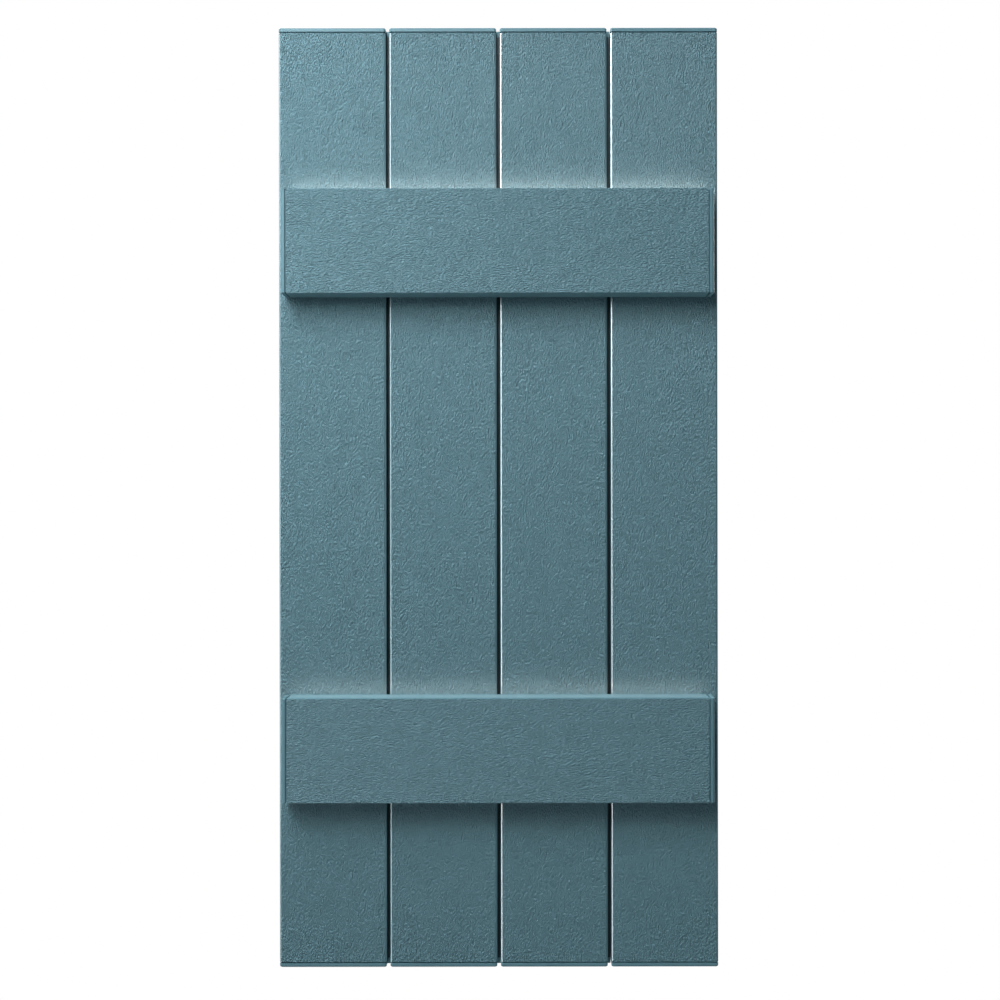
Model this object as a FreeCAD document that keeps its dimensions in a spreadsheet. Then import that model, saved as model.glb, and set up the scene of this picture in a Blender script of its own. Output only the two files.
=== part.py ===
import FreeCAD, Part
import os
import re
import Sketcher

# A fixed board and batten window shutter of extruded vinyl: hollow boards side by side, closed by a
# plug-in cap at each end, with two hollow battens screwed across their faces from behind.
# The back of the boards is the plane y = 0, the boards and battens stand towards -Y, and +Z is up.

BOARD_COUNT = 4
CHAMBER_COUNT = 3
SCREW_SIDES = (-1, 1)

# Driving sizes in millimetres
SIZES = {
    "shutter_height": 787.4,
    "board_width": 89.5,
    "board_depth": 15.9,
    "joint_gap": 3.1,
    "lap_reach": 6.0,
    "lap_thickness": 2.4,
    "lap_clearance": 0.3,
    "lip_setback": 7.5,
    "lip_thickness": 1.5,
    "batten_width": 86.3,
    "batten_depth": 15.9,
    "upper_inset": 139.8,
    "lower_inset": 142.5,
    "batten_margin": 5.4,
    "profile_wall": 1.8,
    "profile_web": 1.5,
    "bevel_width": 1.5,
    "bevel_depth": 0.9,
    "batten_radius": 0.9,
    "cap_flange": 3.5,
    "cap_seam": 1.2,
    "cap_seat": 0.6,
    "board_cap_radius": 1.8,
    "batten_cap_radius": 2.4,
    "plug_length": 12.0,
    "plug_clearance": 0.2,
    "screw_hole": 4.4,
    "screw_head": 7.4,
    "screw_pilot": 3.4,
    "screw_offset": 30.0,
}
COUNTERSINK_ANGLE = 90

# Sizes that follow from the driving ones
BOARD_PITCH = "(board_width + joint_gap)"
SHUTTER_WIDTH = f"({BOARD_COUNT} * board_width + {BOARD_COUNT - 1} * joint_gap)"
CAP_DEPTH = "(cap_flange + cap_seam)"
BOARD_LENGTH = f"(shutter_height - 2 * {CAP_DEPTH})"
BATTEN_LENGTH = f"({SHUTTER_WIDTH} - 2 * batten_margin - 2 * {CAP_DEPTH})"
BATTEN_HEIGHTS = {
    "upper_batten": "(shutter_height / 2 - upper_inset - batten_width / 2)",
    "lower_batten": "(lower_inset + batten_width / 2 - shutter_height / 2)",
}
REBATE_WIDTH = "(lap_reach + lap_clearance)"
REBATE_DEPTH = "(lap_thickness + lap_clearance)"
STEP_DEPTH = f"({REBATE_DEPTH} + profile_wall)"
LIP_FRONT = "(lip_setback - board_depth)"
LIP_BACK = f"({LIP_FRONT} + lip_thickness)"
LIP_REACH = "(joint_gap - lap_clearance)"

document = FreeCAD.newDocument("board_and_batten_shutter")
sheet = document.addObject("Spreadsheet::Sheet", "Sizes")
for row, (alias, size) in enumerate(SIZES.items(), start=1):
    sheet.set(f"A{row}", alias.replace("_", " "))
    sheet.set(f"B{row}", str(size))
    sheet.setAlias(f"B{row}", alias)
document.recompute()


def formula(text):
    """Turn the size names in a formula into references to the sheet's cells."""
    return re.sub(r"[a-z_]+", lambda name: "Sizes." + name.group(), text)


def value(text):
    """The present number of a formula."""
    return float(sheet.evalExpression(formula(text)))


def new_body(label):
    body = document.addObject("PartDesign::Body", label)
    body.Label = label
    return body


def new_sketch(body, name, plane, offset="0"):
    """A sketch on one of the body's own origin planes, moved off it along its normal."""
    sketch = body.newObject("Sketcher::SketchObject", name)
    support = next(f for f in body.Origin.OriginFeatures if f.Role == plane)
    sketch.AttachmentSupport = [(support, "")]
    sketch.MapMode = "FlatFace"
    sketch.setExpression("AttachmentOffset.Base.z", formula(offset))
    return sketch


def tie(sketch, axis, geometry, point, text):
    """Hold one point of the sketch at a formula's distance from the origin along one axis."""
    index = sketch.addConstraint(Sketcher.Constraint(axis, -1, 1, geometry, point, value(text)))
    sketch.setExpression(f"Constraints[{index}]", formula(text))


def draw_outline(sketch, corners):
    """A closed outline of straight sides through corners that are pairs of formulas."""
    first = sketch.GeometryCount
    points = [FreeCAD.Vector(value(x), value(y), 0) for x, y in corners]
    for start, end in zip(points, points[1:] + points[:1]):
        sketch.addGeometry(Part.LineSegment(start, end))
    for index, (x, y) in enumerate(corners):
        following = (index + 1) % len(corners)
        sketch.addConstraint(Sketcher.Constraint("Coincident", first + index, 2, first + following, 1))
        tie(sketch, "DistanceX", first + index, 1, x)
        tie(sketch, "DistanceY", first + index, 1, y)


def draw_rectangle(sketch, left, right, back, front):
    draw_outline(sketch, [(left, front), (right, front), (right, back), (left, back)])


def draw_circle(sketch, x, y, diameter):
    centre = FreeCAD.Vector(value(x), value(y), 0)
    circle = sketch.addGeometry(Part.Circle(centre, FreeCAD.Vector(0, 0, 1), value(diameter) / 2))
    tie(sketch, "DistanceX", circle, 3, x)
    tie(sketch, "DistanceY", circle, 3, y)
    index = sketch.addConstraint(Sketcher.Constraint("Diameter", circle, value(diameter)))
    sketch.setExpression(f"Constraints[{index}]", formula(diameter))


def pad(body, sketch, name, length, side_type="One side", downwards=False):
    feature = body.newObject("PartDesign::Pad", name)
    feature.Profile = sketch
    feature.SideType = side_type
    feature.Reversed = downwards
    feature.setExpression("Length", formula(length))
    document.recompute()
    return feature


def fillet(body, base, name, radius, wanted):
    """Round the edges of the last feature that the test picks."""
    names = [f"Edge{i}" for i, edge in enumerate(base.Shape.Edges, start=1) if wanted(edge)]
    feature = body.newObject("PartDesign::Fillet", name)
    feature.Base = (base, names)
    feature.setExpression("Radius", formula(radius))
    document.recompute()
    return feature


def is_upright_at(edge, corners):
    """Is this edge parallel to Z, through one of the corners?"""
    box = edge.BoundBox
    if max(box.XLength, box.YLength) > Part.Precision.confusion() * 10:
        return False
    middle = box.Center
    return any(
        abs(middle.x - value(x)) + abs(middle.y - value(y)) < Part.Precision.confusion() * 10
        for x, y in corners
    )


def chamber_span(width, index):
    """Left and right sides of one chamber of a profile this wide."""
    chamber = f"(({width} - 2 * profile_wall - {CHAMBER_COUNT - 1} * profile_web) / {CHAMBER_COUNT})"
    left = f"(profile_wall + {index} * ({chamber} + profile_web))"
    return left, f"({left} + {chamber})"


def draw_chambers(sketch, width, depth, rebated):
    """The chambers of a hollow profile. The first steps over the rebate in a lapped board's back."""
    front = f"(profile_wall - {depth})"
    back = "(-profile_wall)"
    for index in range(CHAMBER_COUNT):
        left, right = chamber_span(width, index)
        if rebated and index == 0:
            inner = f"({REBATE_WIDTH} + profile_wall)"
            step = f"(-{STEP_DEPTH})"
            corners = [(left, front), (right, front), (right, back)]
            corners += [(inner, back), (inner, step), (left, step)]
            draw_outline(sketch, corners)
        else:
            draw_rectangle(sketch, left, right, back, front)


def extrude_profile(body, corners, width, depth, length, rebated=False):
    """A hollow profile along Z."""
    sketch = new_sketch(body, "ProfileSketch", "XY_Plane")
    draw_outline(sketch, corners)
    draw_chambers(sketch, width, depth, rebated)
    return pad(body, sketch, "Profile", length, side_type="Symmetric")


def round_front_edges(body, base, width, depth, radius):
    """Round the two long front edges of a profile or of its cap."""
    corners = [("0", f"(-{depth})"), (width, f"(-{depth})")]
    return fillet(body, base, "FrontEdges", radius, lambda e: is_upright_at(e, corners))


def bevelled_front():
    """The front corners of a board or its cap, left to right, with the bevels of the long edges."""
    front, side = "(-board_depth)", "(bevel_depth - board_depth)"
    left, right = "bevel_width", "(board_width - bevel_width)"
    return [("0", side), (left, front), (right, front), ("board_width", side)]


def board_corners(laps, rebated):
    """The outline of a board: a lip across the joint and a lap under the next board on its right, and a
    rebate over the last board on its left."""
    corners = bevelled_front()
    if laps:
        lip = f"(board_width + {LIP_REACH})"
        corners += [("board_width", LIP_FRONT), (lip, LIP_FRONT), (lip, LIP_BACK), ("board_width", LIP_BACK)]
        reach = "(board_width + joint_gap + lap_reach)"
        corners += [("board_width", "(-lap_thickness)"), (reach, "(-lap_thickness)"), (reach, "0")]
    else:
        corners += [("board_width", "0")]
    if rebated:
        corners += [(REBATE_WIDTH, "0"), (REBATE_WIDTH, f"(-{REBATE_DEPTH})"), ("0", f"(-{REBATE_DEPTH})")]
    else:
        corners += [("0", "0")]
    return corners


def screw_places():
    """Offsets of the screws from the middle of a board."""
    return [f"({side} * screw_offset)" for side in SCREW_SIDES]


def make_board(index):
    body = new_body(f"board_{index + 1}")
    laps = index < BOARD_COUNT - 1
    rebated = index > 0
    corners = board_corners(laps, rebated)
    extrude_profile(body, corners, "board_width", "board_depth", BOARD_LENGTH, rebated)
    sketch = new_sketch(body, "ScrewSketch", "XZ_Plane")
    for offset in screw_places():
        for height in BATTEN_HEIGHTS.values():
            draw_circle(sketch, f"(board_width / 2 + {offset})", height, "screw_hole")
    document.recompute()
    holes = body.newObject("PartDesign::Hole", "ScrewHoles")
    holes.Profile = sketch
    holes.Reversed = True
    holes.DepthType = "ThroughAll"
    holes.ThreadType = "None"
    holes.HoleCutType = "Countersink"
    holes.HoleCutCustomValues = True
    holes.HoleCutCountersinkAngle = COUNTERSINK_ANGLE
    holes.setExpression("Diameter", formula("screw_hole"))
    holes.setExpression("HoleCutDiameter", formula("screw_head"))
    body.setExpression("Placement.Base.x", formula(f"{index} * {BOARD_PITCH} - {SHUTTER_WIDTH} / 2"))
    return body


def make_batten(label):
    """A batten across the boards' faces, with its profile's length along X."""
    body = new_body(label)
    corners = [
        ("0", "(-batten_depth)"),
        ("batten_width", "(-batten_depth)"),
        ("batten_width", "0"),
        ("0", "0"),
    ]
    profile = extrude_profile(body, corners, "batten_width", "batten_depth", BATTEN_LENGTH)
    round_front_edges(body, profile, "batten_width", "batten_depth", "batten_radius")
    sketch = new_sketch(body, "PilotSketch", "XZ_Plane")
    for index in range(BOARD_COUNT):
        centre = f"({index} * {BOARD_PITCH} + board_width / 2 - {SHUTTER_WIDTH} / 2)"
        for offset in screw_places():
            draw_circle(sketch, "(batten_width / 2)", f"({centre} + {offset})", "screw_pilot")
    pilots = body.newObject("PartDesign::Pocket", "PilotHoles")
    pilots.Profile = sketch
    pilots.Reversed = True
    pilots.setExpression("Length", formula("profile_wall"))
    body.Placement.Rotation = FreeCAD.Rotation(FreeCAD.Vector(0, 1, 0), 90)
    body.setExpression("Placement.Base.y", formula("-board_depth"))
    body.setExpression("Placement.Base.z", formula(f"{BATTEN_HEIGHTS[label]} + batten_width / 2"))
    return body


def at(number, text):
    """Is this number what the formula gives?"""
    return abs(number - value(text)) < Part.Precision.confusion() * 10


def round_cap_end(body, base, end_radius):
    """Round all edges of a board cap's outer end except the one at the back."""
    def is_end_edge(edge):
        box = edge.BoundBox
        return at(box.ZMin, CAP_DEPTH) and not at(box.YMin, "0")

    return fillet(body, base, "EndEdges", end_radius, is_end_edge)


def round_batten_cap(body, base, width, depth, radius, end_radius):
    """Round a batten cap's outer end towards the front, and then its sides as the batten's edges are."""
    def is_front_of_end(edge):
        box = edge.BoundBox
        return at(box.ZMin, CAP_DEPTH) and at(box.YMax, f"(-{depth})")

    def is_side_edge(edge):
        box = edge.BoundBox
        on_side = at(box.XMax, "0") or at(box.XMin, width)
        return on_side and not at(box.YMin, "0") and not at(box.ZMax, "cap_seam")

    ended = fillet(body, base, "EndEdge", end_radius, is_front_of_end)
    return fillet(body, ended, "SideEdges", radius, is_side_edge)


def make_cap(label, width, depth, radius, end_radius, turn, across, out, along, lip_side=None):
    """A moulded end cap: a flange of the profile's outline, a narrower seat that leaves a seam in front of
    the profile's cut end, and a plug for each chamber. It closes the +Z end before it is turned about Y, and
    carries on the lip of a lapped board on the side named."""
    body = new_body(label)
    inset = "(profile_wall - cap_seat)"
    seat_sketch = new_sketch(body, "SeatSketch", "XY_Plane")
    draw_rectangle(seat_sketch, inset, f"({width} - {inset})", f"(-{inset})", f"({inset} - {depth})")
    pad(body, seat_sketch, "Seat", "cap_seam")

    plug_sketch = new_sketch(body, "PlugSketch", "XY_Plane")
    back = f"(-{STEP_DEPTH} - plug_clearance)"
    front = f"(profile_wall + plug_clearance - {depth})"
    for index in range(CHAMBER_COUNT):
        left, right = chamber_span(width, index)
        left, right = f"({left} + plug_clearance)", f"({right} - plug_clearance)"
        draw_rectangle(plug_sketch, left, right, back, front)
    pad(body, plug_sketch, "Plugs", "plug_length", downwards=True)

    flange_sketch = new_sketch(body, "FlangeSketch", "XY_Plane", offset="cap_seam")
    if radius:
        draw_rectangle(flange_sketch, "0", width, "0", f"(-{depth})")
        flange = pad(body, flange_sketch, "Flange", "cap_flange")
        round_batten_cap(body, flange, width, depth, radius, end_radius)
    else:
        draw_outline(flange_sketch, bevelled_front() + [(width, "0"), ("0", "0")])
        flange = pad(body, flange_sketch, "Flange", "cap_flange")
        round_cap_end(body, flange, end_radius)
    if lip_side:
        lip_sketch = new_sketch(body, "LipSketch", "XY_Plane")
        left, right = {
            "left": (f"(-{LIP_REACH})", end_radius),
            "right": (f"({width} - {end_radius})", f"({width} + {LIP_REACH})"),
        }[lip_side]
        draw_rectangle(lip_sketch, left, right, LIP_BACK, LIP_FRONT)
        pad(body, lip_sketch, "Lip", CAP_DEPTH)
    body.Placement.Rotation = FreeCAD.Rotation(FreeCAD.Vector(0, 1, 0), turn)
    for axis, text in (("x", across), ("y", out), ("z", along)):
        body.setExpression(f"Placement.Base.{axis}", formula(text))
    return body


bodies = []
for board in range(BOARD_COUNT):
    bodies.append(make_board(board))
    board_left = f"({board} * {BOARD_PITCH} - {SHUTTER_WIDTH} / 2)"
    board_right = f"({board_left} + board_width)"
    board_end = f"({BOARD_LENGTH} / 2)"
    board_cap = ("board_width", "board_depth", None, "board_cap_radius")
    top_lip, bottom_lip = ("right", "left") if board < BOARD_COUNT - 1 else (None, None)
    name = f"board_{board + 1}"
    bodies.append(make_cap(f"{name}_top_cap", *board_cap, 0, board_left, "0", board_end, top_lip))
    bottom_end = f"(-{board_end})"
    bodies.append(make_cap(f"{name}_bottom_cap", *board_cap, 180, board_right, "0", bottom_end, bottom_lip))

for name, height in BATTEN_HEIGHTS.items():
    bodies.append(make_batten(name))
    batten_top = f"({height} + batten_width / 2)"
    batten_bottom = f"({height} - batten_width / 2)"
    batten_end = f"({BATTEN_LENGTH} / 2)"
    batten_cap = ("batten_width", "batten_depth", "batten_radius", "batten_cap_radius")
    on_face = "(-board_depth)"
    bodies.append(make_cap(f"{name}_right_cap", *batten_cap, 90, batten_end, on_face, batten_top))
    batten_start = f"(-{batten_end})"
    bodies.append(make_cap(f"{name}_left_cap", *batten_cap, -90, batten_start, on_face, batten_bottom))

document.recompute()
failed = [o.Label for o in document.Objects if {"Invalid", "Error"} & set(o.State)]
failed += [b.Label for b in bodies if b.Shape.isNull() or not b.Shape.isValid() or len(b.Shape.Solids) != 1]
if failed:
    raise RuntimeError(f"these did not build: {sorted(set(failed))}")

os.makedirs("parts", exist_ok=True)
for body in bodies:
    body.Shape.exportStep(f"parts/{body.Label}.step")
    print(body.Label, round(body.Shape.Volume), body.Shape.BoundBox)
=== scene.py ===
import math

import bmesh
import bpy
from mathutils import Matrix, Vector


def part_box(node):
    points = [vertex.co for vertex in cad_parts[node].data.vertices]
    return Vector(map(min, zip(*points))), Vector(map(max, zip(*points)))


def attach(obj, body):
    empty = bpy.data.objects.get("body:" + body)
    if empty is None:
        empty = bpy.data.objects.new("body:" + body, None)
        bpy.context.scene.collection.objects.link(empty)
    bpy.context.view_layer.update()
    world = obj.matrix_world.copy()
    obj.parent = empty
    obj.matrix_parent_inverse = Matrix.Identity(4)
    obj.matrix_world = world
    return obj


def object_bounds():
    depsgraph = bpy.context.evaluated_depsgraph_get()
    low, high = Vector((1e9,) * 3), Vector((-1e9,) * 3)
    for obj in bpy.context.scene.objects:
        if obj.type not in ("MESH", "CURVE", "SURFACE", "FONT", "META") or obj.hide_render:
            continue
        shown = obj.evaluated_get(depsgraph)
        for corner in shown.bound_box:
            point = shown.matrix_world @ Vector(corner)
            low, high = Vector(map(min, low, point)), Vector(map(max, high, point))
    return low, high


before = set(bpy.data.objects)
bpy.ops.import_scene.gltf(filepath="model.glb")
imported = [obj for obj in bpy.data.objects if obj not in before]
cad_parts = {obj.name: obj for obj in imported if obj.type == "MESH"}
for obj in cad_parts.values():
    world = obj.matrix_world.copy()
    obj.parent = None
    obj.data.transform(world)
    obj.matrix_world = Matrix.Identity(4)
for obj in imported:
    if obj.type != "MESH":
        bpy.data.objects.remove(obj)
cad_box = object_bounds()

# The shutter's own sizes, read from the frame
BOARDS = [f"board_{number}" for number in range(1, 5)]
BATTENS = ["upper_batten", "lower_batten"]
BOARD_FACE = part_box("board_1")[0].y
BOARD_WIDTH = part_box("board_4")[1].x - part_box("board_4")[0].x
BATTEN_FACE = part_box("upper_batten")[0].y

# Screws that hold the battens, in metres
SCREW_OFFSET = 0.030
SCREW_HEAD_RADIUS = 0.0035
SCREW_SHANK_RADIUS = 0.0016
SCREW_HEAD_DEPTH = 0.0017
SCREW_LENGTH = 0.024
SCREW_POINT = 0.005
SCREW_SINK = 0.0001
DRIVE_ARM = 0.0022
DRIVE_WIDTH = 0.0009
DRIVE_DEPTH = 0.0014

# Shares of a screw's sizes: the floor of its cross, and its tip
DRIVE_TAPER = 0.55
TIP_SHARE = 0.12

# The cross in a grid of unit cells on the head: half a cell wide of the middle, one and a half cells long
CROSS_HALF_WIDTH = 0.5
CROSS_HALF_LENGTH = 1.5

# Turn of each screw in radians, so that the crosses don't line up: by board, and by side of the board
TURN_BY_BOARD = 0.7
TURN_BY_SIDE = 1.1

# Camera: its distance from the boards' faces, its offset from the shutter's middle, and its framing
CAMERA_DISTANCE = 0.78
CAMERA_OFFSET = (0.032, 0.0)
CAMERA_ROLL = 0.0014
CAMERA_SENSOR = 36.0
FRAME_PIXELS = 1000
METRES_PER_PIXEL = 0.0008374
SHUTTER_CENTRE_PIXEL = (498.45, 497.3)


class Wire:
    """A shader value that can be added, subtracted and multiplied with plain operators."""

    def __init__(self, finish, socket):
        self.finish = finish
        self.socket = socket

    def sum(self, operation, first, second):
        return self.finish.node("ShaderNodeMath", {"operation": operation}, {0: first, 1: second})

    def __add__(self, other):
        return self.sum("ADD", self, other)

    __radd__ = __add__

    def __sub__(self, other):
        return self.sum("SUBTRACT", self, other)

    def __rsub__(self, other):
        return self.sum("SUBTRACT", other, self)

    def __mul__(self, other):
        return self.sum("MULTIPLY", self, other)

    __rmul__ = __mul__


class Finish:
    """One procedural material, or the world, built node by node."""

    def __init__(self, owner):
        self.owner = owner
        owner.use_nodes = True
        self.tree = owner.node_tree
        self.tree.nodes.clear()

    def node(self, kind, settings=None, sockets=None, output=0):
        """Add a node, set it up, give its sockets values or links, and return one of its outputs."""
        node = self.tree.nodes.new(kind)
        for name, setting in (settings or {}).items():
            setattr(node, name, setting)
        for name, given in (sockets or {}).items():
            if isinstance(given, Wire):
                self.tree.links.new(given.socket, node.inputs[name])
            else:
                node.inputs[name].default_value = given
        return Wire(self, node.outputs[output]) if node.outputs else None

    def blend(self, factor, first, second):
        """Mix two colours, or wires of colours."""
        settings = {"data_type": "RGBA", "clamp_factor": True}
        return self.node("ShaderNodeMix", settings, {0: factor, 6: first, 7: second}, output=2)

    def ramp(self, given, low, high):
        """0 below low, 1 above high and a smooth step between."""
        settings = {"interpolation_type": "SMOOTHSTEP", "clamp": True}
        return self.node("ShaderNodeMapRange", settings, {0: given, 1: low, 2: high, 3: 0.0, 4: 1.0})

    def noise(self, place, scale, detail=2.0, distortion=0.0):
        """Soft noise about 0.5 over the places given."""
        sockets = {"Vector": place, "Scale": scale, "Detail": detail, "Distortion": distortion}
        return self.node("ShaderNodeTexNoise", None, {**sockets, "Roughness": 0.5})


def srgb(red, green, blue):
    """A colour written in screen levels, as the linear colour that shaders take."""
    def linear(level):
        share = level / 255
        return share / 12.92 if share <= 0.04045 else ((share + 0.055) / 1.055) ** 2.4
    return (linear(red), linear(green), linear(blue), 1.0)


# Vinyl: its colours in screen levels
VINYL_COLOUR = (88, 124, 135)
VINYL_PALE = (89, 125, 136)
VINYL_DEEP = (87, 123, 134)

# Grain rolled into the faces, in metres
PEBBLE_WIDTH = 0.00078
PEBBLE_LENGTH = 0.0022
LINE_WIDTH = 0.0015
LINE_LENGTH = 0.009
GRAIN_WANDER = 0.0009
BOARD_RELIEF = 0.0027
BATTEN_RELIEF = 0.0032

# Grain: shares of pebbles and lines, how far slow patches flatten it, and how much of its tint shows
PEBBLE_SHARE = 0.94
LINE_SHARE = 0.06
PATCH_SHARE = 0.12
GRAIN_DISTORTION = 0.2
RELIEF_MIDDLE = 0.5
RELIEF_RANGE = (-0.2, 0.2)
RELIEF_TINT = 0.5

# Noise on the vinyl, in cycles per metre, and the ranges that are drawn out of it
WANDER_SCALE = 38.0
PATCH_SCALE = 75.0
PATCH_RANGE = (0.30, 0.55)
MOTTLE_SCALE = 90.0
MOTTLE_RANGE = (0.3, 0.7)
GLOSS_SCALE = 180.0

# Depths below a face in metres: its bevel, and the deep part of a joint, where shade is painted into the
# colour; the last value is the share of the vinyl's brightness that this painted shade keeps
BEVEL_START = 0.0001
BEVEL_END = 0.0005
JOINT_START = 0.002
JOINT_END = 0.0125
JOINT_PAINTED_SHADE = 0.3

# Each of these depths fades out to a multiple of itself
BEVEL_START_FADE = 3
BEVEL_END_FADE = 1.3
JOINT_START_FADE = 2
JOINT_END_FADE = 1.08

# Where the painted joint shade ends, in metres from the shutter's outer sides, and which normals face left
SHADE_FREE_SIDE = (0.001, 0.0005)
LEFT_FACING = (-0.4, -0.2)

# Sheen of the embossed vinyl and of its bevels
VINYL_ROUGHNESS = 0.46
VINYL_ROUGHNESS_SPREAD = 0.10
VINYL_SPECULAR = 0.08
BEVEL_COAT_ROUGHNESS = 0.3
BEVEL_COAT_IOR = 2.2

# Moulded vinyl of the end caps
CAP_MOTTLE_SCALE = 40.0
CAP_PEBBLE_SCALE = 1400.0
CAP_PEBBLE_DEPTH = 0.00005
CAP_PEBBLE_STRENGTH = 0.3
CAP_ROUGHNESS = 0.34
CAP_ROUGHNESS_SPREAD = 0.1
CAP_SPECULAR = 0.03

# Zinc plating of the screws
ZINC_DARK = (0.22, 0.22, 0.21, 1)
ZINC_PALE = (0.40, 0.39, 0.37, 1)
SPANGLE_SCALE = 900.0
DULL_SCALE = 350.0
DULL_RANGE = (0.35, 0.65)
ZINC_ROUGHNESS = 0.48
ZINC_ROUGHNESS_SPREAD = 0.18


def embossed_vinyl(name, along, face, grain_relief, has_joints):
    """Extruded vinyl whose face is rolled with wood grain along one axis; its edges and back stay smooth.

    has_joints is 1 for boards, which have glossy bevels and painted shade deep in their joints, and 0 for
    battens.
    """
    finish = Finish(bpy.data.materials.new(name))
    place = finish.node("ShaderNodeTexCoord", output="Object")
    across = finish.node("ShaderNodeSeparateXYZ", None, {0: place}, output="X")
    depth = finish.node("ShaderNodeSeparateXYZ", None, {0: place}, output="Y")

    def deeper_than(start, fade):
        return finish.ramp(depth, face + start, face + start * fade)

    on_edge = deeper_than(BEVEL_START, BEVEL_START_FADE)
    on_bevel = on_edge * (1 - deeper_than(BEVEL_END, BEVEL_END_FADE))
    normal = finish.node("ShaderNodeNewGeometry", output="True Normal")
    facing = finish.node("ShaderNodeSeparateXYZ", None, {0: normal}, output="X")
    on_left_bevel = on_bevel * (1 - finish.ramp(facing, *LEFT_FACING))

    # Painted shade deep in the joints, which stops short of the shutter's two outer sides
    outer = finish.node("ShaderNodeMath", {"operation": "ABSOLUTE"}, {0: across})
    inside = 1 - finish.ramp(outer, *(cad_box[1][0] - margin for margin in SHADE_FREE_SIDE))
    sunk = deeper_than(JOINT_START, JOINT_START_FADE)
    joint_shade_mask = inside * sunk * (1 - deeper_than(JOINT_END, JOINT_END_FADE))

    # Wandering lines: the place is pushed about by slow noise and then squeezed along the grain
    wander = {"Vector": place, "Scale": WANDER_SCALE, "Detail": 1.0}
    slow = finish.node("ShaderNodeTexNoise", None, wander, output="Color")
    pushed = finish.node("ShaderNodeVectorMath", {"operation": "MULTIPLY_ADD"},
                         {0: slow, 1: (GRAIN_WANDER,) * 3, 2: place})

    def squeezed(width, length):
        size = (length, width, width) if along == "X" else (width, width, length)
        return finish.node("ShaderNodeVectorMath", {"operation": "DIVIDE"}, {0: pushed, 1: size})

    def grain(width, length):
        return finish.noise(squeezed(width, length), 1.0, detail=1.0, distortion=GRAIN_DISTORTION)

    pebble = grain(PEBBLE_WIDTH, PEBBLE_LENGTH)
    lines = grain(LINE_WIDTH, LINE_LENGTH)
    patches = finish.ramp(finish.noise(place, PATCH_SCALE, detail=1.0), *PATCH_RANGE)
    strength = patches * PATCH_SHARE + (1 - PATCH_SHARE)
    relief = (pebble * PEBBLE_SHARE + lines * LINE_SHARE - RELIEF_MIDDLE) * strength * (1 - on_edge)

    mottle = finish.ramp(finish.noise(place, MOTTLE_SCALE, detail=3.0), *MOTTLE_RANGE)
    tone = finish.blend(mottle, srgb(*VINYL_DEEP), srgb(*VINYL_PALE))
    tint = finish.ramp(relief, *RELIEF_RANGE) * RELIEF_TINT
    unshaded_vinyl = finish.blend(tint, tone, srgb(*VINYL_COLOUR))
    # Painted shade: the deep vinyl colour darkened to stand in for the shadow inside the joints between
    # boards
    painted_joint_shade = [level * JOINT_PAINTED_SHADE for level in srgb(*VINYL_DEEP)[:3]] + [1.0]
    colour = finish.blend(joint_shade_mask * has_joints, unshaded_vinyl, painted_joint_shade)
    gloss = finish.noise(place, GLOSS_SCALE, detail=2.0)
    emboss = {"Strength": 1.0, "Distance": grain_relief, "Height": relief}
    bump = finish.node("ShaderNodeBump", None, emboss)
    shader = finish.node("ShaderNodeBsdfPrincipled", None, {
        "Base Color": colour,
        "Roughness": VINYL_ROUGHNESS + VINYL_ROUGHNESS_SPREAD * gloss,
        "Specular IOR Level": VINYL_SPECULAR,
        "Coat Weight": on_left_bevel * has_joints,
        "Coat Roughness": BEVEL_COAT_ROUGHNESS,
        "Coat IOR": BEVEL_COAT_IOR,
        "Normal": bump,
    })
    finish.node("ShaderNodeOutputMaterial", None, {"Surface": shader})
    return finish.owner


def moulded_vinyl(name):
    """The smooth vinyl of the end caps, with the faint pebble of a moulded surface."""
    finish = Finish(bpy.data.materials.new(name))
    place = finish.node("ShaderNodeTexCoord", output="Object")
    mottle = finish.ramp(finish.noise(place, CAP_MOTTLE_SCALE, detail=3.0), *MOTTLE_RANGE)
    pebble = finish.noise(place, CAP_PEBBLE_SCALE, detail=2.0)
    skin = {"Strength": CAP_PEBBLE_STRENGTH, "Distance": CAP_PEBBLE_DEPTH, "Height": pebble}
    bump = finish.node("ShaderNodeBump", None, skin)
    shader = finish.node("ShaderNodeBsdfPrincipled", None, {
        "Base Color": finish.blend(mottle, srgb(*VINYL_DEEP), srgb(*VINYL_PALE)),
        "Roughness": CAP_ROUGHNESS + CAP_ROUGHNESS_SPREAD * pebble,
        "Specular IOR Level": CAP_SPECULAR,
        "Normal": bump,
    })
    finish.node("ShaderNodeOutputMaterial", None, {"Surface": shader})
    return finish.owner


def zinc_steel(name):
    """Zinc-plated screw steel, with spangle and dull handling marks."""
    finish = Finish(bpy.data.materials.new(name))
    place = finish.node("ShaderNodeTexCoord", output="Object")
    spangle = finish.noise(place, SPANGLE_SCALE, detail=3.0)
    dull = finish.ramp(finish.noise(place, DULL_SCALE, detail=2.0), *DULL_RANGE)
    shader = finish.node("ShaderNodeBsdfPrincipled", None, {
        "Base Color": finish.blend(spangle, ZINC_DARK, ZINC_PALE),
        "Metallic": 1.0,
        "Roughness": ZINC_ROUGHNESS + ZINC_ROUGHNESS_SPREAD * dull,
    })
    finish.node("ShaderNodeOutputMaterial", None, {"Surface": shader})
    return finish.owner


def dress_frame():
    """Give every CAD piece its vinyl."""
    board_vinyl = embossed_vinyl("board_vinyl", "Z", BOARD_FACE, BOARD_RELIEF, has_joints=1.0)
    batten_vinyl = embossed_vinyl("batten_vinyl", "X", BATTEN_FACE, BATTEN_RELIEF, has_joints=0.0)
    smooth_vinyl = moulded_vinyl("smooth_vinyl")
    for name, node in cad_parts.items():
        if name.endswith("_cap"):
            vinyl = smooth_vinyl
        else:
            vinyl = board_vinyl if name in BOARDS else batten_vinyl
        for place in node.material_slots:
            place.material = vinyl


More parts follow.
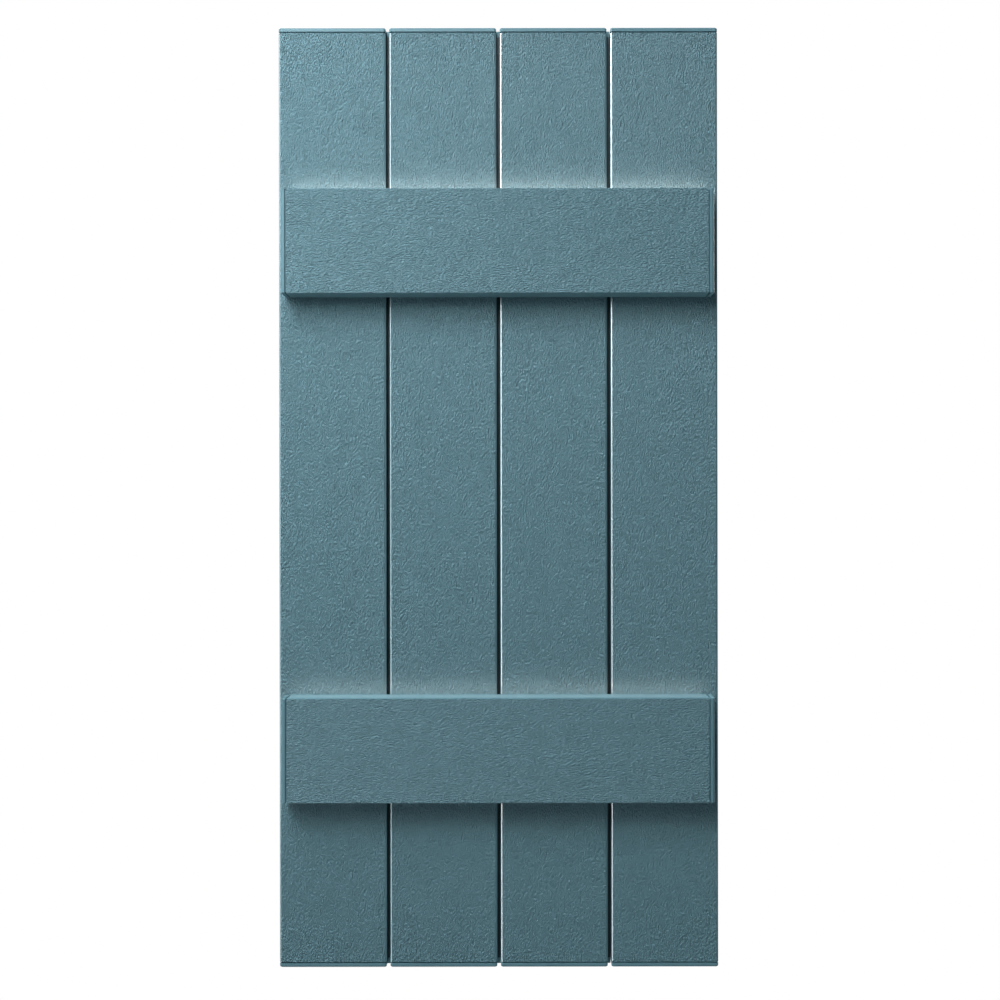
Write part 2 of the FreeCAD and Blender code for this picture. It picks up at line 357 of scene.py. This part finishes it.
def add_piece(name, mesh, material):
    """Finish a bmesh as one piece of the shutter."""
    data = bpy.data.meshes.new(name)
    mesh.to_mesh(data)
    mesh.free()
    data.materials.append(material)
    piece = bpy.data.objects.new(name, data)
    bpy.context.scene.collection.objects.link(piece)
    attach(piece, "root")


def drive_grid_lines():
    """Grid lines across a screw head, spaced so that the middle cells form the arms of its cross."""
    half = DRIVE_WIDTH / 2
    return [-SCREW_HEAD_RADIUS, -DRIVE_ARM, -half, half, DRIVE_ARM, SCREW_HEAD_RADIUS]


def in_cross(face):
    """Whether a cell of a screw head's grid of unit cells is part of its cross."""
    centre = face.calc_center_median()
    near, far = sorted((abs(centre.x), abs(centre.y)))
    return near < CROSS_HALF_WIDTH and far < CROSS_HALF_LENGTH


def add_screw(mesh, place, turn):
    """A countersunk cross-head screw, head flush with the boards' backs, driven towards -Y."""
    lines = drive_grid_lines()
    cells = len(lines) - 1
    made = bmesh.ops.create_grid(mesh, x_segments=cells, y_segments=cells, size=cells / 2)
    verts = made["verts"]
    faces = dict.fromkeys(face for vert in verts for face in vert.link_faces)
    rim = [vert for vert in verts if vert.is_boundary]
    cross = [face for face in faces if in_cross(face)]
    for vert in verts:
        vert.co.x = lines[round(vert.co.x + cells / 2)]
        vert.co.y = lines[round(vert.co.y + cells / 2)]
    for vert in rim:
        vert.co = vert.co.normalized() * SCREW_HEAD_RADIUS

    rim_edges = [edge for vert in rim for edge in vert.link_edges if edge.is_boundary]
    rim_edges = list(dict.fromkeys(rim_edges))
    sunk = bmesh.ops.extrude_face_region(mesh, geom=cross)
    floor = [g for g in sunk["geom"] if isinstance(g, bmesh.types.BMVert)]
    bmesh.ops.delete(mesh, geom=cross, context="FACES")
    bmesh.ops.translate(mesh, verts=floor, vec=(0, 0, -DRIVE_DEPTH))
    bmesh.ops.scale(mesh, verts=floor, vec=(DRIVE_TAPER, DRIVE_TAPER, 1))
    steps = (
        (SCREW_SHANK_RADIUS, SCREW_HEAD_DEPTH),
        (SCREW_SHANK_RADIUS, SCREW_LENGTH - SCREW_POINT),
        (SCREW_SHANK_RADIUS * TIP_SHARE, SCREW_LENGTH),
    )
    radius, depth = SCREW_HEAD_RADIUS, 0.0
    ring = rim_edges
    everything = set(verts) | set(floor)
    for next_radius, next_depth in steps:
        grown = bmesh.ops.extrude_edge_only(mesh, edges=ring)["geom"]
        ring = [g for g in grown if isinstance(g, bmesh.types.BMEdge) and g.is_boundary]
        ring_verts = [g for g in grown if isinstance(g, bmesh.types.BMVert)]
        share = next_radius / radius
        bmesh.ops.scale(mesh, verts=ring_verts, vec=(share, share, 1))
        bmesh.ops.translate(mesh, verts=ring_verts, vec=(0, 0, depth - next_depth))
        everything.update(ring_verts)
        radius, depth = next_radius, next_depth
    bmesh.ops.contextual_create(mesh, geom=ring)
    everything = [vert for vert in everything if vert.is_valid]
    lie_down = Matrix.Rotation(-math.pi / 2, 4, "X")
    stand = Matrix.Translation(place) @ lie_down @ Matrix.Rotation(turn, 4, "Z")
    bmesh.ops.transform(mesh, matrix=stand, verts=everything)


def add_batten_screws():
    """Two screws through each board into each batten, from behind."""
    steel = zinc_steel("zinc_steel")
    for batten in BATTENS:
        low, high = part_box(batten)
        height = (low.z + high.z) / 2
        mesh = bmesh.new()
        for number, board in enumerate(BOARDS):
            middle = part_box(board)[0].x + BOARD_WIDTH / 2
            for side in (-1, 1):
                place = Vector((middle + side * SCREW_OFFSET, -SCREW_SINK, height))
                add_screw(mesh, place, turn=TURN_BY_BOARD * number + TURN_BY_SIDE * side)
        bmesh.ops.recalc_face_normals(mesh, faces=mesh.faces[:])
        add_piece(f"{batten}_screws", mesh, steel)


# Floor, in metres: it is palest beyond FLOOR_FAR, and FLOOR_PALE is the share of white near the shutter
FLOOR_HEIGHT = -1.10
FLOOR_SIZE = 30.0
FLOOR_NEAR = 0.4
FLOOR_FAR = 1.15
FLOOR_PALE = 0.55
FLOOR_COLOUR = (0.70, 0.70, 0.70, 1)
ROOM_LIGHT = 0.015

# Lamps: place, aim, width and height in metres, and radiance
LAMPS = {
    "key_softbox": ((-0.8, -1.28, 2.34), (0, 0, 0), 1.28, 1.28, 9.1),
    "overhead_softbox": ((-0.8, -1.1, 2.0), (0, 0, 0), 1.2, 1.2, 2.2),
    "front_fill": ((-0.45, -0.55, 0.45), (0.3, 0, -1.4), 0.7, 0.7, 3.85),
    "bevel_strip": ((-0.87, -0.50, -0.05), (0, 0, -0.05), 0.16, 2.2, 10.5),
    "sheen_softbox": ((-0.45, -0.9, 0.9), (0, 0, 0.3), 0.9, 0.8, 37.0),
    "back_softbox": ((1.3, 1.4, 0.8), (0, 0, 0), 1.2, 1.2, 10.0),
}
GLOSS_ONLY = ("bevel_strip", "sheen_softbox")

# Strips beside the battens for the light that their walls throw on the boards, warm so that the blue vinyl
# sends it back as a neutral glow; sizes in metres, and radiance
GLOW_STRIP = 0.003
GLOW_GAP = 0.003
GLOW_DEPTH = 0.011
TOP_GLOW = {"upper_batten": 14.2, "lower_batten": 6.8}
END_GLOW = 3.6
GLOW_COLOUR = (1.0, 0.6, 0.5)


def seen_directly(finish):
    """1 for the rays that show a background as it is: to the camera, in a reflection or through glass."""
    def ray(kind):
        return finish.node("ShaderNodeLightPath", output=kind)
    any_ray = ray("Is Camera Ray") + ray("Is Glossy Ray") + ray("Is Transmission Ray")
    return finish.node("ShaderNodeMath", {"operation": "MINIMUM"}, {0: any_ray, 1: 1.0})


def lay_floor():
    """A plain pale floor that keeps the shadow under the shutter and is white further off."""
    mesh = bmesh.new()
    bmesh.ops.create_grid(mesh, x_segments=1, y_segments=1, size=FLOOR_SIZE / 2)
    bmesh.ops.translate(mesh, verts=mesh.verts[:], vec=(0, 0, FLOOR_HEIGHT))
    data = bpy.data.meshes.new("floor")
    mesh.to_mesh(data)
    mesh.free()
    floor = bpy.data.objects.new("floor", data)
    bpy.context.scene.collection.objects.link(floor)
    finish = Finish(bpy.data.materials.new("pale_floor"))
    place = finish.node("ShaderNodeTexCoord", output="Object")
    flat = finish.node("ShaderNodeVectorMath", {"operation": "MULTIPLY"}, {0: place, 1: (1, 1, 0)})
    reach = finish.node("ShaderNodeVectorMath", {"operation": "LENGTH"}, {0: flat}, output="Value")
    white = finish.node("ShaderNodeEmission", None, {"Color": (1, 1, 1, 1), "Strength": 1.0})
    matt = finish.node("ShaderNodeBsdfDiffuse", None, {"Color": FLOOR_COLOUR})
    pale = FLOOR_PALE + (1 - FLOOR_PALE) * finish.ramp(reach, FLOOR_NEAR, FLOOR_FAR)
    share = pale * seen_directly(finish)
    surface = finish.node("ShaderNodeMixShader", None, {0: share, 1: matt, 2: white})
    finish.node("ShaderNodeOutputMaterial", None, {"Surface": surface})
    data.materials.append(finish.owner)


def light_room():
    """White where the camera sees past the shutter, a soft even grey for everything that is lit by it."""
    world = bpy.data.worlds.new("studio")
    bpy.context.scene.world = world
    finish = Finish(world)
    shade = finish.blend(seen_directly(finish), (ROOM_LIGHT,) * 3 + (1,), (1, 1, 1, 1))
    background = finish.node("ShaderNodeBackground", None, {"Color": shade, "Strength": 1.0})
    finish.node("ShaderNodeOutputWorld", None, {"Surface": background})


def hang_lamp(name, place, aim, width, height, radiance, colour=(1, 1, 1)):
    """A rectangular soft lamp that faces a point and keeps out of the picture."""
    data = bpy.data.lights.new(name, "AREA")
    data.shape = "RECTANGLE"
    data.size = width
    data.size_y = height
    data.energy = 4 * width * height * radiance
    data.color = colour
    lamp = bpy.data.objects.new(name, data)
    bpy.context.scene.collection.objects.link(lamp)
    lamp.location = place
    lamp.rotation_euler = (Vector(aim) - Vector(place)).to_track_quat("-Z", "Y").to_euler()
    lamp.visible_camera = False
    return lamp


def light_shutter():
    """Soft lamps on the left, overhead, in front and behind, and the strips of glow beside the battens.

    Two more lamps act on gloss alone, for the boards' bevels and for the sheen of the upper boards.
    """
    for name, setting in LAMPS.items():
        lamp = hang_lamp(name, *setting)
        lamp.visible_diffuse = name not in GLOSS_ONLY
    for batten, top_glow in TOP_GLOW.items():
        low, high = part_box(batten)
        middle = (low + high) / 2
        depth = BOARD_FACE - GLOW_DEPTH
        top = Vector((0, depth, high.z + GLOW_GAP))
        end = Vector((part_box(f"{batten}_left_cap")[0].x - GLOW_GAP, depth, middle.z))
        length, height = high.x - low.x, high.z - low.z
        inward = Vector((0, 1, 0))
        hang_lamp(f"{batten}_top_glow", top, top + inward, length, GLOW_STRIP, top_glow, GLOW_COLOUR)
        hang_lamp(f"{batten}_end_glow", end, end + inward, GLOW_STRIP, height, END_GLOW, GLOW_COLOUR)


def set_camera():
    """Square on to the shutter, framed as the photograph is."""
    data = bpy.data.cameras.new("camera")
    data.sensor_width = CAMERA_SENSOR
    frame_width = METRES_PER_PIXEL * FRAME_PIXELS
    data.lens = CAMERA_SENSOR * CAMERA_DISTANCE / frame_width
    right, down = (pixel - FRAME_PIXELS / 2 for pixel in SHUTTER_CENTRE_PIXEL)
    data.shift_x = -CAMERA_OFFSET[0] / frame_width - right / FRAME_PIXELS
    data.shift_y = -CAMERA_OFFSET[1] / frame_width + down / FRAME_PIXELS
    camera = bpy.data.objects.new("camera", data)
    bpy.context.scene.collection.objects.link(camera)
    camera.location = (CAMERA_OFFSET[0], BOARD_FACE - CAMERA_DISTANCE, CAMERA_OFFSET[1])
    camera.rotation_euler = (math.pi / 2, CAMERA_ROLL, 0)
    bpy.context.scene.camera = camera


dress_frame()
add_batten_screws()
lay_floor()
light_room()
light_shutter()
set_camera()
bpy.context.scene.view_settings.view_transform = "Standard"
